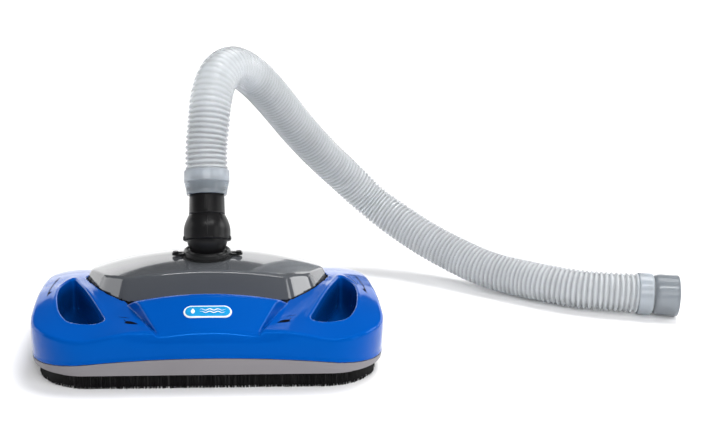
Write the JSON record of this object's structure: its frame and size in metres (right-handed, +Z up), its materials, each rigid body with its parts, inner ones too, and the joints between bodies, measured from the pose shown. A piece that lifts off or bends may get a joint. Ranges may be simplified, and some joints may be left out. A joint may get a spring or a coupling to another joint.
{
  "type": "suction pool cleaner",
  "caption": "Suction pool cleaner head with a bristle skirt, swinging hammer, geared swivel and a corrugated leader hose with cuffs.",
  "frame": {"origin": "on the floor under the middle of the head, measured without the hose and its cuffs", "axes": "+Z up, -Y towards the badge side of the head, +X towards the side where the hose lies"},
  "size_m": [0.7558, 0.4385, 0.3164],
  "materials": {
    "blue_plastic": "moulded, glossy",
    "hood_plastic": "pewter, glossy",
    "deck_plastic": "moulded, satin",
    "bristle": "nylon bristle",
    "black_plastic": "moulded, satin",
    "dark_flange": "moulded, satin",
    "badge": "printed label, glossy",
    "rubber": "soft rubber",
    "steel": "stainless",
    "white_plastic": "acetal",
    "amber_plastic": "moulded",
    "clear_hose": "translucent, ribbed",
    "clear_cuff": "translucent, smooth",
    "smoke_cuff": "smoky, smooth",
    "foam": "closed-cell foam",
    "iron": "coated"
  },
  "bodies": {
    "head": {"blue_shell": "blue_plastic", "hood": "hood_plastic", "lower_deck": "deck_plastic", "brush_backing": "black_plastic", "bristle_ring": "bristle", "badge": "badge", "hood_clips": "black_plastic", "side_inserts": "black_plastic", "glide_pads": "rubber", "deck_screws": "steel", "intake_duct": "white_plastic", "strike_pads": "rubber", "hammer_pin": "steel", "turbine_housing": "white_plastic", "gear_plate": "black_plastic", "gear_plate_screws": "steel", "idler_pin": "steel", "swivel_flange": "dark_flange", "flange_screws": "steel", "thrust_washer": "white_plastic", "float_blocks": "foam", "ballast_weight": "iron"},
    "hammer": {"hammer": "amber_plastic"},
    "turbine": {"turbine_wheel": "amber_plastic", "turbine_shaft": "steel", "turbine_pinion": "white_plastic"},
    "idler": {"idler_gear": "white_plastic"},
    "swivel": {"ball_stem": "black_plastic", "swivel_gear": "white_plastic"},
    "hose_line": {"socket_collar": "black_plastic", "hose_tube": "black_plastic", "cuff_seal": "rubber", "cuff_sleeve": "clear_cuff", "cuff_band": "clear_hose", "hose": "clear_hose", "far_band": "clear_hose"},
    "far_cuff": {"far_sleeve": "smoke_cuff"}
  },
  "joints": [
    {"name": "hammer_swing", "type": "hinge", "parent": "head", "child": "hammer", "pos_m": [0, 0.022, 0.05], "axis": [0, 1, 0], "range_deg": [-14, 14]},
    {"name": "swivel_spin", "type": "hinge", "parent": "head", "child": "swivel", "pos_m": [0, 0.022, 0.09], "axis": [0, 0, 1], "continuous": true},
    {"name": "idler_spin", "type": "hinge", "parent": "head", "child": "idler", "pos_m": [0.04212, 0.022, 0.07], "axis": [0, 0, 1], "continuous": true},
    {"name": "turbine_spin", "type": "hinge", "parent": "head", "child": "turbine", "pos_m": [0.06624, 0.022, 0.04], "axis": [0, 0, 1], "continuous": true},
    {"name": "swivel_tilt", "type": "hinge", "parent": "swivel", "child": "hose_line", "pos_m": [0, 0.022, 0.116], "axis": [1, 0, 0], "range_deg": [0, 44]},
    {"name": "far_cuff_spin", "type": "hinge", "parent": "hose_line", "child": "far_cuff", "pos_m": [0.52, 0.08, 0.0255], "axis": [0.9681, -0.2504, 0], "continuous": true}
  ],
  "couplings": [
    {"joint": "idler_spin", "follows": "swivel_spin", "ratio": -6},
    {"joint": "turbine_spin", "follows": "swivel_spin", "ratio": 18}
  ]
}
